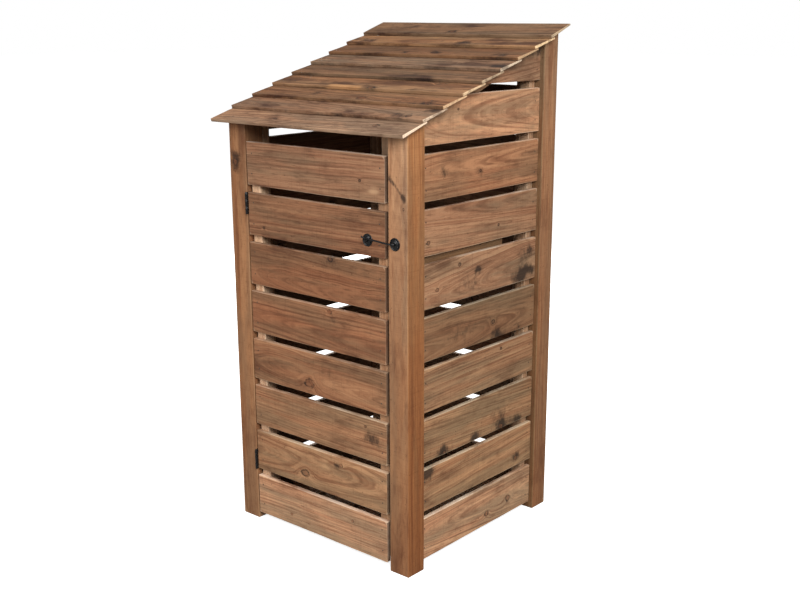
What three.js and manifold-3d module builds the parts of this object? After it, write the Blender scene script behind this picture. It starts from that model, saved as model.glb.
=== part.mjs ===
// Slatted timber store with a lapped mono-pitch roof and one side-hung door.
// Millimetres, +Z up. The front faces -Y. The origin is on the ground under the middle of the roof.
import * as THREE from 'three';
import { mergeVertices } from 'three/addons/utils/BufferGeometryUtils.js';
import Module from 'manifold-3d';

const wasm = await Module();
wasm.setup();

// ---------------------------------------------------------------- driving dimensions
const bodyWidth = 755;          // over the outer faces of the corner posts
const bodyDepth = 745;
const postSide = 75;
const eavesHeight = 1373;       // roof plane above the front faces of the front posts
const roofPitch = THREE.MathUtils.degToRad(19);
const sideOverhang = 25;
const frontOverhang = 53;
const backOverhang = 30;

const slatHeight = 138;
const slatPitch = 162;          // from one slat's bottom edge to the next one's
const slatThickness = 16;
const firstSlatHeight = 25;     // clear height under the lowest slats
const sideSlatCount = 10;       // the top two follow the roof line
const slatInset = 15;           // panel slats sit back from the posts' outer faces
const buttGap = 1;              // between a slat's end and a post
const thinnestEnd = 1;          // a clipped slat's end that is lower than this comes to a point

const panelBattenWidth = 28;
const battenDepth = 38;
const battenToPost = 8;
const sideRailGap = 6;          // the gap it closes, counted from the ground up
const sideRailLength = 390;

const doorSlatCount = 8;
const hingeGap = 5;
const latchGap = 12;
const doorBattenWidth = 38;
const hingeBattenInset = 4;
const latchBattenInset = 2;
const doorBattenFoot = 40;
const doorBattenTop = 1270;

const roofBoardCount = 9;
const roofBoardWidth = 113;
const roofBoardThickEdge = 10.5;
const roofBoardThinEdge = 5;
const ridgeLift = 11.5;         // the top board's back edge, above the roof plane
const restGap = 0.3;            // between pieces that rest on a sloping face

const floorBoardCount = 4;
const floorBoardThickness = 16;
const floorBearerHeight = 34;
const joinDepth = 0.5;          // how far pieces of one joined solid run into each other
const sideClearance = 1;        // between a panel's pieces and its neighbours

const hingeHeight = 70;
const upperHingeFoot = 1065;
const lowerHingeFoot = 185;
const leafThickness = 1.6;
const leafWidth = slatThickness;
const barrelRadius = 4.5;
const barrelStandOff = 0.3;
const pinRadius = 2;
const pinClearance = 0.15;
const knuckleGap = 0.4;

const hookPivotX = 328.5;
const eyeX = 221.5;
const hookHeight = 1045;
const hookStandOff = 11.5;      // from the posts' front faces to the middle of the rod
const rodRadius = 2.8;
const hookRise = 6;             // of the rod over its pivot, at the eye
const hookTipDrop = 9;          // of the tip under the pivot
const hookPinRadius = 2.4;
const hookPinClearance = 0.4;
const hookLoopThickness = 3.2;
const pinHeadRadius = 5;
const pinHeadThickness = 2;
const eyeRadius = 6.4;          // to the middle of the wire
const eyeWireRadius = 1.9;
const rosetteRadius = 19.5;
const rosetteRim = 1.2;
const rosetteCrown = 3.2;

const doorStopHeight = 67;
const doorStopLap = 14;         // how far the door's top slat closes over the stop

// ---------------------------------------------------------------- derived places
const roofDepth = frontOverhang + bodyDepth + backOverhang;
const frontY = frontOverhang - roofDepth / 2;
const backY = frontY + bodyDepth;
const halfWidth = bodyWidth / 2;
const postInnerX = halfWidth - postSide;
const panelFrontY = frontY + postSide;
const panelBackY = backY - postSide;
const slatInnerX = halfWidth - slatInset - slatThickness;
const battenInnerX = slatInnerX - battenDepth;
const backSlatY = backY - slatInset - slatThickness;
const roofSlope = Math.tan(roofPitch);
const roofOriginY = (restGap + roofBoardThickEdge) * Math.sin(roofPitch) - roofDepth / 2;
const roofLength = (roofDepth / 2 - roofOriginY + ridgeLift * Math.sin(roofPitch)) / Math.cos(roofPitch);
const roofExposure = (roofLength - roofBoardWidth) / (roofBoardCount - 1);
const hingeAxisX = -postInnerX + hingeGap / 2;
const hingeAxisY = frontY - barrelRadius - barrelStandOff;
const doorLeftX = -postInnerX + hingeGap;
const doorRightX = postInnerX - latchGap;
const floorTop = firstSlatHeight + floorBearerHeight + floorBoardThickness;

const roofPlane = (y) => eavesHeight + (y - frontY) * roofSlope;
const roofPlaneReaches = (z) => frontY + (z - eavesHeight) / roofSlope;
const slatFoot = (index) => firstSlatHeight + index * slatPitch;

// ---------------------------------------------------------------- materials
const timber = (colour) =>
  new THREE.MeshStandardMaterial({ color: colour, roughness: 0.8, metalness: 0 });
const postTimber = timber(0x9a6f50);
const slatTimber = timber(0x94694a);
const roofTimber = timber(0x7d604b);
const battenTimber = timber(0xb58e6a);
const blackIron = new THREE.MeshStandardMaterial({ color: 0x14161a, roughness: 0.35, metalness: 0.6 });

// ---------------------------------------------------------------- geometry helpers
// A box given by its low and high limits on each axis.
function block([x0, x1], [y0, y1], [z0, z1]) {
  const box = new THREE.BoxGeometry(x1 - x0, y1 - y0, z1 - z0);
  return box.translate((x0 + x1) / 2, (y0 + y1) / 2, (z0 + z1) / 2);
}

// An outline in the YZ plane, extruded along X from x0 to x1.
function alongX(outline, x0, x1) {
  const shape = new THREE.Shape(outline.map(([y, z]) => new THREE.Vector2(y, z)));
  const solid = new THREE.ExtrudeGeometry(shape, { depth: x1 - x0, bevelEnabled: false });
  const yzxBasis = new THREE.Matrix4().makeBasis(
    new THREE.Vector3(0, 1, 0), new THREE.Vector3(0, 0, 1), new THREE.Vector3(1, 0, 0));
  return solid.applyMatrix4(yzxBasis).translate(x0, 0, 0);
}

// A turned profile of [radius, height] points, standing out of the door's or post's face along -Y.
function turned(profile, segments = 32) {
  const lathe = new THREE.LatheGeometry(profile.map(([r, h]) => new THREE.Vector2(r, h)), segments);
  return lathe.rotateX(Math.PI);
}

function rod(points, radius, steps) {
  const path = new THREE.CatmullRomCurve3(points.map((p) => new THREE.Vector3(...p)));
  const section = new THREE.Shape().absarc(0, 0, radius, 0, 2 * Math.PI);
  return new THREE.ExtrudeGeometry(section,
    { steps, curveSegments: 6, bevelEnabled: false, extrudePath: path });
}

function toManifold(geometry) {
  const bare = geometry.clone();
  bare.deleteAttribute('normal');
  bare.deleteAttribute('uv');
  const merged = mergeVertices(bare);
  return new wasm.Manifold(new wasm.Mesh({
    numProp: 3,
    vertProperties: new Float32Array(merged.attributes.position.array),
    triVerts: new Uint32Array(merged.index.array),
  }));
}

function fromManifold(solid) {
  const { vertProperties, triVerts } = solid.getMesh();
  const geometry = new THREE.BufferGeometry();
  geometry.setAttribute('position', new THREE.BufferAttribute(vertProperties, 3));
  geometry.setIndex(new THREE.BufferAttribute(triVerts, 1));
  return geometry;
}

const joined = (...pieces) =>
  fromManifold(pieces.map(toManifold).reduce((whole, piece) => whole.add(piece)));
const cut = (piece, tool) => fromManifold(toManifold(piece).subtract(toManifold(tool)));

// ---------------------------------------------------------------- assembly
const store = new THREE.Group();

function add(name, geometry, material, parent = store) {
  const mesh = new THREE.Mesh(geometry, material);
  mesh.name = name;
  parent.add(mesh);
  return mesh;
}

const numbered = (index) => String(index + 1).padStart(2, '0');
const sides = [['left', -1], ['right', 1]];
const mirrored = (sign, inner, outer) => (sign > 0 ? [inner, outer] : [-outer, -inner]);

function addPosts() {
  const rows = [['front', frontY], ['back', backY - postSide]];
  for (const [row, y] of rows) {
    for (const [side, sign] of sides) {
      const y1 = y + postSide;
      const outline = [[y, 0], [y1, 0], [y1, roofPlane(y1)], [y, roofPlane(y)]];
      const [x0, x1] = mirrored(sign, postInnerX, halfWidth);
      add(`post_${row}_${side}`, alongX(outline, x0, x1), postTimber);
    }
  }
}

// A side slat's outline between the posts, cut off where the roof plane passes through it.
function sideSlatOutline(index) {
  const foot = slatFoot(index);
  const head = foot + slatHeight;
  const cutPlane = (y) => roofPlane(y) - restGap;
  const front = Math.max(panelFrontY + buttGap, roofPlaneReaches(foot + restGap));
  const back = panelBackY - buttGap;
  const outline = [[front, foot], [back, foot]];
  if (cutPlane(back) > head) {
    outline.push([back, head]);
    if (cutPlane(front) < head) outline.push([roofPlaneReaches(head + restGap), head]);
  } else {
    outline.push([back, cutPlane(back)]);
  }
  const frontHead = Math.min(head, cutPlane(front));
  if (frontHead > foot + thinnestEnd) outline.push([front, frontHead]);
  return outline;
}

function addSidePanels() {
  const bearerDrop = battenDepth / Math.cos(roofPitch);
  const battenRows = [
    ['front', panelFrontY + battenToPost],
    ['back', panelBackY - battenToPost - panelBattenWidth],
  ];
  for (const [side, sign] of sides) {
    const [slatX0, slatX1] = mirrored(sign, slatInnerX, slatInnerX + slatThickness);
    const [battenX0, battenX1] = mirrored(sign, battenInnerX, slatInnerX);
    for (let index = 0; index < sideSlatCount; index++) {
      const slat = alongX(sideSlatOutline(index), slatX0, slatX1);
      add(`side_slat_${side}_${numbered(index)}`, slat, slatTimber);
    }
    for (const [row, y] of battenRows) {
      const head = roofPlane(y) - bearerDrop - restGap;
      const batten = block([battenX0, battenX1], [y, y + panelBattenWidth], [firstSlatHeight, head]);
      add(`side_batten_${side}_${row}`, batten, battenTimber);
    }
    const y0 = panelFrontY + buttGap;
    const y1 = panelBackY - buttGap;
    const bearer = [
      [y0, roofPlane(y0) - bearerDrop], [y1, roofPlane(y1) - bearerDrop],
      [y1, roofPlane(y1)], [y0, roofPlane(y0)]];
    add(`roof_bearer_${side}`, alongX(bearer, battenX0, battenX1), battenTimber);
  }
}

// A short rail inside the right-hand panel, from its front batten, that closes one gap between slats.
function addSideRail() {
  const gapFoot = slatFoot(sideRailGap - 1) + slatHeight;
  const middle = (gapFoot + slatFoot(sideRailGap)) / 2;
  const y = panelFrontY + battenToPost + panelBattenWidth + buttGap;
  const rail = block([slatInnerX - panelBattenWidth, slatInnerX], [y, y + sideRailLength],
    [middle - battenDepth / 2, middle + battenDepth / 2]);
  add('side_rail_right', rail, battenTimber);
}

// How far a roof board's underside stands off the roof plane at its front and back edges. A board's
// front edge rests on the board below it, at the exposure from that board's own front edge.
function roofBoardSeats() {
  const lapShare = roofExposure / roofBoardWidth;
  const lapThickness = THREE.MathUtils.lerp(roofBoardThickEdge, roofBoardThinEdge, lapShare);
  const seats = [[restGap, restGap]];
  for (let index = 1; index < roofBoardCount; index++) {
    const [frontBelow, backBelow] = seats[index - 1];
    const front = THREE.MathUtils.lerp(frontBelow, backBelow, lapShare) + lapThickness + restGap;
    seats.push([front, index === roofBoardCount - 1 ? ridgeLift : restGap]);
  }
  return seats;
}

function addRoof() {
  const roof = new THREE.Group();
  roof.position.set(0, roofOriginY, roofPlane(roofOriginY));
  roof.rotation.x = roofPitch;
  store.add(roof);
  roofBoardSeats().forEach(([frontSeat, backSeat], index) => {
    const front = index * roofExposure;
    const back = front + roofBoardWidth;
    const outline = [
      [front, frontSeat], [back, backSeat],
      [back, backSeat + roofBoardThinEdge], [front, frontSeat + roofBoardThickEdge]];
    const halfLength = halfWidth + sideOverhang;
    add(`roof_board_${numbered(index)}`, alongX(outline, -halfLength, halfLength), roofTimber, roof);
  });
}

// The roof's underside over the back slats, where the top board is lifted off the roof plane.
function topBoardUnderside(y) {
  const front = (roofBoardCount - 1) * roofExposure;
  const share = ((y - roofOriginY) / Math.cos(roofPitch) - front) / roofBoardWidth;
  const frontSeat = roofBoardSeats()[roofBoardCount - 1][0];
  return roofPlane(y) + THREE.MathUtils.lerp(frontSeat, ridgeLift, share) / Math.cos(roofPitch);
}

function addBackPanel() {
  const slatX = [-postInnerX + buttGap, postInnerX - buttGap];
  const slatY = [backSlatY, backSlatY + slatThickness];
  const topHead = topBoardUnderside(backSlatY) - sideClearance;
  const slats = Array.from({ length: sideSlatCount - 1 }, (_, index) =>
    block(slatX, slatY, [slatFoot(index), slatFoot(index) + slatHeight]));
  slats.push(block(slatX, slatY, [topHead - slatHeight, topHead]));
  const battenOuterX = postInnerX - battenToPost;
  const battens = sides.map(([, sign]) => block(
    mirrored(sign, battenOuterX - panelBattenWidth, battenOuterX),
    [backSlatY - battenDepth, backSlatY + joinDepth],
    [firstSlatHeight, topHead - slatHeight / 2]));
  add('back_panel', joined(...slats, ...battens), slatTimber);
}

function addFloor() {
  const front = panelFrontY + sideClearance;
  const back = panelBackY - sideClearance;
  const span = 2 * (battenInnerX - sideClearance);
  const gap = (span - floorBoardCount * slatHeight) / (floorBoardCount - 1);
  const boardFoot = floorTop - floorBoardThickness;
  const boards = Array.from({ length: floorBoardCount }, (_, index) => {
    const x = -span / 2 + index * (slatHeight + gap);
    return block([x, x + slatHeight], [front, back], [boardFoot, floorTop]);
  });
  const bearerX = [-slatInnerX + sideClearance, slatInnerX - sideClearance];
  const frontBearer = panelFrontY + battenToPost + panelBattenWidth;
  const backBearer = panelBackY - battenToPost - panelBattenWidth - battenDepth;
  const bearers = [frontBearer, backBearer].map((y) =>
    block(bearerX, [y, y + battenDepth], [firstSlatHeight, boardFoot + joinDepth]));
  add('floor_panel', joined(...boards, ...bearers), battenTimber);
}

function addDoor() {
  const slatY = [frontY, frontY + slatThickness];
  for (let index = 0; index < doorSlatCount; index++) {
    const foot = slatFoot(index);
    const slat = block([doorLeftX, doorRightX], slatY, [foot, foot + slatHeight]);
    add(`door_slat_${numbered(index)}`, slat, slatTimber);
  }
  const hingeBattenX = doorLeftX + hingeBattenInset;
  const latchBattenX = doorRightX - latchBattenInset - doorBattenWidth;
  for (const [name, x] of [['hinge', hingeBattenX], ['latch', latchBattenX]]) {
    const battenY = [slatY[1], slatY[1] + battenDepth];
    const batten = block([x, x + doorBattenWidth], battenY, [doorBattenFoot, doorBattenTop]);
    add(`door_batten_${name}`, batten, battenTimber);
  }
}

// A block on the latch post that the door's top slat closes against.
function addDoorStop() {
  const foot = slatFoot(doorSlatCount - 1) + slatHeight - doorStopLap;
  const y = frontY + slatThickness + restGap;
  const stopX = [postInnerX - battenDepth, postInnerX];
  add('door_stop', block(stopX, [y, y + battenDepth], [foot, foot + doorStopHeight]), battenTimber);
}

// One leaf of a butt hinge: a plate in the gap at the door's edge, with tabs to its own knuckles.
function hingeLeaf(plateX, foot, knuckles) {
  const plate = block(plateX, [frontY, frontY + leafWidth], [foot, foot + hingeHeight]);
  const tabs = knuckles.map(([low, high]) =>
    block(plateX, [hingeAxisY, frontY + joinDepth], [foot + low, foot + high]));
  const barrels = knuckles.map(([low, high]) => barrel(barrelRadius, foot + low, foot + high));
  return joined(plate, ...tabs, ...barrels);
}

function barrel(radius, low, high, segments = 24) {
  const cylinder = new THREE.CylinderGeometry(radius, radius, high - low, segments);
  return cylinder.rotateX(Math.PI / 2).translate(hingeAxisX, hingeAxisY, (low + high) / 2);
}

function addHinges() {
  const third = hingeHeight / 3;
  const middle = [[third + knuckleGap, 2 * third - knuckleGap]];
  const outer = [[0, third], [2 * third, hingeHeight]];
  const postLeafX = [-postInnerX, -postInnerX + leafThickness];
  const doorLeafX = [doorLeftX - leafThickness, doorLeftX];
  for (const [name, foot] of [['upper', upperHingeFoot], ['lower', lowerHingeFoot]]) {
    const pin = barrel(pinRadius, foot + joinDepth, foot + hingeHeight - joinDepth);
    const bore = barrel(pinRadius + pinClearance, foot, foot + hingeHeight);
    const postLeaf = joined(hingeLeaf(postLeafX, foot, outer), pin);
    add(`hinge_${name}_post_leaf`, postLeaf, blackIron);
    add(`hinge_${name}_door_leaf`, cut(hingeLeaf(doorLeafX, foot, middle), bore), blackIron);
  }
}

// A domed round plate with its back on the timber.
function rosette() {
  return turned([
    [0, 0], [rosetteRadius, 0], [rosetteRadius, rosetteRim],
    [rosetteRadius * 0.8, rosetteCrown - joinDepth], [rosetteRadius * 0.4, rosetteCrown],
    [0, rosetteCrown]]);
}

function stud(radius, from, to) {
  return turned([[0, from], [radius, from], [radius, to], [0, to]], 24);
}

function addHookPlates() {
  const headFoot = hookStandOff + rodRadius + restGap;
  const pin = stud(hookPinRadius, rosetteRim, headFoot + joinDepth);
  const head = stud(pinHeadRadius, headFoot, headFoot + pinHeadThickness);
  const postPlate = add('hook_post_plate', joined(rosette(), pin, head), blackIron);
  postPlate.position.set(hookPivotX, frontY, hookHeight);

  const eye = new THREE.TorusGeometry(eyeRadius, eyeWireRadius, 10, 28).translate(0, -hookStandOff, 0);
  const stem = stud(eyeWireRadius, rosetteRim, hookStandOff - eyeRadius);
  const eyePlate = add('hook_eye_plate', joined(rosette(), stem, eye), blackIron);
  eyePlate.position.set(eyeX, frontY, hookHeight);
}

// The hook, in its own frame at the pin: a loop on the pin, a rod that climbs a little to the eye and
// drops through it as a tip, and a short curled tail past the eye to lift the hook by.
function addHook() {
  const reach = hookPivotX - eyeX;
  const loopInner = hookPinRadius + hookPinClearance;
  const loopOuter = loopInner + hookLoopThickness;
  const elbow = 0.9 * hookRise;
  const loop = turned([[loopInner, -rodRadius], [loopOuter, -rodRadius], [loopOuter, rodRadius],
    [loopInner, rodRadius], [loopInner, -rodRadius]]);
  const shank = rod([
    [-(loopInner + loopOuter) / 2, 0, 0],
    [-reach / 2, 0, hookRise / 2],
    [-reach + 2 * elbow, 0, hookRise],
    [-reach + elbow, 0, hookRise],
    [-reach + elbow / 6, 0, hookRise - elbow / 3],
    [-reach, 0, hookRise - elbow],
    [-reach, 0, -hookTipDrop]], rodRadius, 48);
  const tail = rod([
    [-reach + 1.5 * elbow, 0, hookRise],
    [-reach - elbow / 3, 0, hookRise + 1],
    [-reach - 1.6 * elbow, -rodRadius / 3, 1.4 * hookRise],
    [-reach - 2.6 * elbow, -rodRadius, 2 * hookRise]], 0.85 * rodRadius, 16);
  const hook = add('hook', joined(loop, shank, tail), blackIron);
  hook.position.set(hookPivotX, frontY - hookStandOff, hookHeight);
}

addPosts();
addSidePanels();
addSideRail();
addBackPanel();
addFloor();
addRoof();
addDoor();
addDoorStop();
addHinges();
addHookPlates();
addHook();

export default store;
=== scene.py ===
"""Slatted timber store with a lapped roof and a door on a cabin hook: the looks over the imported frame."""

import math
import random

import bmesh
import bpy
import numpy as np
from mathutils import Matrix, Vector


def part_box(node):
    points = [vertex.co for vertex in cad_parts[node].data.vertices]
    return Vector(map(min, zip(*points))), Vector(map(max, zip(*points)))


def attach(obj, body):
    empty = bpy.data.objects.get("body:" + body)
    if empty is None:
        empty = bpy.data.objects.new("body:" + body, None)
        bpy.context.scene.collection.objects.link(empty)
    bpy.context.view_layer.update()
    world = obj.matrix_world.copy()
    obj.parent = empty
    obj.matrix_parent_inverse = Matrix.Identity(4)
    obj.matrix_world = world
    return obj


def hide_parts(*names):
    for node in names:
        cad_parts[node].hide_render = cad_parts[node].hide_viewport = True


MM = 0.001

# -------- the frame
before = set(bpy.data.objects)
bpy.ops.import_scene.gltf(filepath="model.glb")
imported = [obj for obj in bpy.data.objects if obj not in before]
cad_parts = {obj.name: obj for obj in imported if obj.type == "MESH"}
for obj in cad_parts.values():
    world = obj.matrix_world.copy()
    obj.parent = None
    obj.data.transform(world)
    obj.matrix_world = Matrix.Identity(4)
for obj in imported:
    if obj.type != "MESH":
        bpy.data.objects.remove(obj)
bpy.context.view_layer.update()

X, Y, Z = Vector((1, 0, 0)), Vector((0, 1, 0)), Vector((0, 0, 1))
ROOF_PITCH = math.radians(19)
ROOF_WIDTH_AXIS = Vector((0, math.cos(ROOF_PITCH), math.sin(ROOF_PITCH)))
ROOF_NORMAL = Vector((0, -math.sin(ROOF_PITCH), math.cos(ROOF_PITCH)))

# Sizes that the frame holds only inside its joined back and floor panels.
SLAT_HEIGHT, SLAT_THICKNESS = 138 * MM, 16 * MM
FLOOR_BOARDS = 4
BATTEN_DEPTH, BATTEN_TO_POST = 38 * MM, 8 * MM
SIDE_CLEARANCE = 1 * MM

TINY = 1e-6  # places closer than this are one place
FAR = 9.0    # farther than anything in the scene


def srgb(red, green, blue):
    """A display colour, 0 to 255, as the linear colour that shaders take."""
    def linear(channel):
        c = channel / 255
        return c / 12.92 if c <= 0.04045 else ((c + 0.055) / 1.055) ** 2.4
    return (linear(red), linear(green), linear(blue), 1.0)


# -------- shader building
class Shader:
    """The node tree of a material or a world, written as expressions on its sockets."""

    def __init__(self, name, kind=bpy.data.materials):
        self.owner = kind.new(name)
        self.owner.use_nodes = True
        self.tree = self.owner.node_tree
        self.tree.nodes.clear()

    def feed(self, socket, value):
        if isinstance(value, bpy.types.NodeSocket):
            self.tree.links.new(value, socket)
        else:
            socket.default_value = value

    def node(self, kind, inputs=(), **settings):
        made = self.tree.nodes.new("ShaderNode" + kind)
        for key, value in settings.items():
            setattr(made, key, value)
        for key, value in dict(inputs).items():
            self.feed(made.inputs[key], value)
        return made

    def math(self, operation, *values):
        return self.node("Math", dict(enumerate(values)), operation=operation).outputs[0]

    def plus(self, first, second):
        return self.math("ADD", first, second)

    def minus(self, first, second):
        return self.math("SUBTRACT", first, second)

    def times(self, first, second):
        return self.math("MULTIPLY", first, second)

    def line(self, value, slope, start):
        """value times slope, plus start."""
        return self.math("MULTIPLY_ADD", value, slope, start)

    def length(self, first, second):
        return self.math("SQRT", self.plus(self.times(first, first), self.times(second, second)))

    def vector(self, operation, *values):
        return self.node("VectorMath", dict(enumerate(values)), operation=operation).outputs[0]

    def join(self, *values):
        return self.node("CombineXYZ", dict(enumerate(values))).outputs[0]

    def split(self, vector):
        return self.node("SeparateXYZ", {0: vector}).outputs[:3]

    def attribute(self, name, output="Vector"):
        return self.node("Attribute", attribute_name=name).outputs[output]

    def noise(self, place, scales, detail=2.0, roughness=0.5):
        """Noise from 0 to 1, with its own scale along, across and through the board, per metre."""
        return self.node("TexNoise", {
            "Vector": self.vector("MULTIPLY", place, scales),
            "Scale": 1.0, "Detail": detail, "Roughness": roughness}).outputs["Fac"]

    def between(self, value, low, high, top=None):
        """A smooth step: 0 at low, and 1 or the top given at high."""
        step = self.node("MapRange", {"Value": value, "From Min": low, "From Max": high},
                         interpolation_type="SMOOTHSTEP").outputs["Result"]
        return step if top is None else self.times(step, top)

    def mix(self, share, first, second, blend="MIX"):
        made = self.node("Mix", data_type="RGBA", blend_type=blend)
        colour_inputs = (6, 7)  # the node also has inputs of the same names for numbers and vectors
        for key, value in zip(("Factor", *colour_inputs), (share, first, second)):
            self.feed(made.inputs[key], value)
        return made.outputs[2]

    def finish(self, colour, roughness, height, bump_distance, **surface):
        bump = self.node("Bump", {"Height": height, "Distance": bump_distance, "Strength": 1.0})
        bsdf = self.node("BsdfPrincipled", {
            "Base Color": colour, "Roughness": roughness, "Normal": bump.outputs[0], **surface})
        self.node("OutputMaterial", {"Surface": bsdf.outputs[0]})
        return self.owner


# -------- timber
KNOT_STRETCH = 1.25  # a knot is this much longer along the board than across it


def ring_radius(s, grain, seeded):
    """Distance from the pith line, which leans and wavers along the board."""
    along, across, through = s.split(grain)
    pith_across, pith_through, _ = s.split(s.attribute("pith"))
    drift_across, drift_through, waver = s.split(s.attribute("lean"))
    sway = s.minus(s.noise(seeded, (3.0, 8.0, 8.0)), 0.5)
    offsets = []
    for place, pith, drift in ((across, pith_across, drift_across), (through, pith_through, drift_through)):
        offset = s.minus(place, s.line(along, drift, pith))
        offsets.append(s.line(sway, waver, offset))
    return s.length(*offsets)


def knot_distance(s, grain, knot, wobble):
    """Distance to a knot in its own radii, and the knot's radius."""
    along, across, _ = s.split(grain)
    knot_along, knot_across, radius = s.split(knot)
    some_radius = s.math("MAXIMUM", radius, 0.4 * MM)  # a knot that isn't there has radius 0
    away_along = s.math("DIVIDE", s.minus(along, knot_along), s.times(some_radius, KNOT_STRETCH))
    away_across = s.math("DIVIDE", s.minus(across, knot_across), some_radius)
    return s.plus(s.length(away_along, away_across), wobble), radius


def push_round_knots(s, grain, wobble, radius):
    """The ring radius pushed out by the board's two knots, then their cover, dark rims and inner rings."""
    covers, rims, cores = [], [], []
    for attribute in ("knot_a", "knot_b"):
        distance, size = knot_distance(s, grain, s.attribute(attribute), wobble)
        spread = s.times(s.times(distance, distance), -0.22)
        radius = s.plus(radius, s.times(s.math("EXPONENT", spread), s.times(size, 1.25)))
        covers.append(s.between(distance, 1.05, 0.88))
        outline = s.times(s.math("POWER", s.minus(distance, 0.98), 2.0), -30.0)
        rims.append(s.times(s.math("EXPONENT", outline), s.between(size, 0.5 * MM, 2 * MM)))
        cores.append(s.math("FRACT", s.times(distance, 2.4)))
    return radius, s.math("MAXIMUM", *covers), s.math("MAXIMUM", *rims), s.math("MINIMUM", *cores)


def growth_rings(s, count):
    """Late wood, 0 to 1, and each ring's own random weight, from a running count of the rings."""
    phase = s.math("FRACT", count)
    late = s.times(s.between(phase, 0.60, 0.94), s.between(phase, 1.0, 0.94))
    ring_number = s.join(s.math("FLOOR", count))
    ring_weight = s.node("TexWhiteNoise", {"Vector": ring_number}).outputs["Value"]
    late = s.times(late, s.line(s.math("POWER", ring_weight, 2.0), 0.80, 0.20))
    return late, ring_weight


def wood(name, pale, warm, dark, grey, stain, end, ring_spacing, figure, mottle,
         fresh=(214, 172, 130), worn_and_lit_edge=(206, 182, 154)):
    """Dip-treated softwood, as its material and slot. Growth rings are shells round a pith line that runs
    along the board, so a face shows cathedral figure and an end shows arcs; knots push the rings apart."""
    pale, warm, dark, grey, stain, end, fresh, worn_and_lit_edge = (
        srgb(*tone) for tone in (pale, warm, dark, grey, stain, end, fresh, worn_and_lit_edge))
    s = Shader(name)
    grain = s.attribute("grain")
    seeded = s.vector("ADD", grain, s.attribute("seed"))
    wobble = s.line(s.noise(seeded, (38.0, 55.0, 55.0), 3.0, 0.6), 1.5, -0.75)
    radius = ring_radius(s, grain, seeded)
    radius, knot_cover, knot_rim, knot_core = push_round_knots(s, grain, wobble, radius)
    ragged = s.times(s.noise(seeded, (3.0, 40.0, 40.0), 4.0, 0.6), 0.45)
    late, ring_weight = growth_rings(s, s.plus(s.math("DIVIDE", radius, ring_spacing), ragged))

    # Lines and pores follow the rings, and so bend round the knots. The rest runs straight.
    along, _, through = s.split(grain)
    flow = s.vector("ADD", s.join(along, radius, s.times(through, 0.5)), s.attribute("seed"))
    lines = s.noise(flow, (2.6, 210.0, 30.0), 4.0, 0.60)
    pores = s.noise(flow, (13.0, 430.0, 60.0), 3.0, 0.6)
    fibres = s.noise(seeded, (16.0, 520.0, 520.0))
    dashes = s.noise(seeded, (20.0, 150.0, 150.0), 4.0, 0.65)
    specks = s.noise(seeded, (110.0, 150.0, 150.0))
    bands = s.noise(seeded, (1.8, 15.0, 15.0), 4.0, 0.62)
    patches = s.noise(seeded, (4.2, 11.0, 11.0), 5.0, 0.66)
    blots = s.noise(seeded, (30.0, 19.0, 19.0), 5.0, 0.7)
    saw = s.noise(seeded, (420.0, 9.0, 9.0), 2.0, 0.6)

    early = s.line(ring_weight, 0.40, s.times(lines, 0.85))
    colour = s.mix(s.between(early, 0.20, 1.0), pale, warm)
    colour = s.mix(s.between(bands, 0.40, 0.62, 0.85), colour, grey)
    colour = s.mix(s.times(late, figure), colour, dark)
    for field, low, high, share, tone in (
            (patches, 0.50, 0.72, 0.56 * mottle, dark), (patches, 0.44, 0.26, 0.52 * mottle, pale),
            (lines, 0.51, 0.66, 0.34 * mottle, dark), (lines, 0.47, 0.33, 0.30 * mottle, pale),
            (dashes, 0.52, 0.72, 0.40 * mottle, dark), (dashes, 0.44, 0.26, 0.30, pale),
            (pores, 0.52, 0.72, 0.34, dark), (specks, 0.67, 0.76, 0.50, stain),
            (saw, 0.50, 0.78, 0.26, dark)):
        colour = s.mix(s.between(field, low, high, share), colour, tone)

    # This attribute darkens a board where it is over 0, with real stains and, along a roof board's thick
    # front edge, painted shade; under 0 it rubs the board back to fresh wood.
    soak = s.attribute("stain", "Fac")
    blot_and_shade_share = s.between(s.plus(soak, s.line(blots, 1.5, -0.75)), 0.18, 0.78)
    blot_and_shade_share = s.times(blot_and_shade_share, s.between(soak, 0.02, 0.25))
    colour = s.mix(s.times(blot_and_shade_share, 0.90), colour, stain)
    rubbed = s.between(s.minus(s.line(lines, 1.4, -0.7), soak), 0.15, 0.65)
    rubbed = s.times(rubbed, s.between(soak, -0.05, -0.35))
    colour = s.mix(s.times(rubbed, 0.8), colour, fresh)

    knot_colour = s.mix(s.between(knot_core, 0.15, 0.95), srgb(136, 90, 62), srgb(82, 51, 36))
    knot_colour = s.mix(s.between(blots, 0.44, 0.62), knot_colour, stain)
    colour = s.mix(s.times(knot_cover, 0.66), colour, knot_colour)
    colour = s.mix(s.times(knot_rim, s.between(blots, 0.30, 0.55)), colour, stain)

    end_colour = s.mix(s.times(late, 0.45), end, dark)
    end_colour = s.mix(s.between(blots, 0.48, 0.66, 0.60), end_colour, dark)
    colour = s.mix(s.attribute("end", "Fac"), colour, end_colour)
    # Arrises are tinted paler: partly real wear, partly a painted highlight where the edges catch the light.
    worn_and_lit = s.times(s.between(s.attribute("edge", "Fac"), 0.90, 1.0), s.between(patches, 0.66, 0.36))
    colour = s.mix(s.times(worn_and_lit, 0.60), colour, worn_and_lit_edge)
    colour = s.mix(1.0, colour, s.attribute("tint", "Color"), "MULTIPLY")

    roughness = s.line(late, -0.10, s.line(lines, 0.22, 0.66))
    height = s.line(late, 0.9, s.times(fibres, 0.9))
    height = s.line(knot_cover, -0.8, s.line(saw, 0.5, height))
    return s.finish(colour, roughness, height, 0.4 * MM, **{"Specular IOR Level": 0.32}), name


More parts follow.
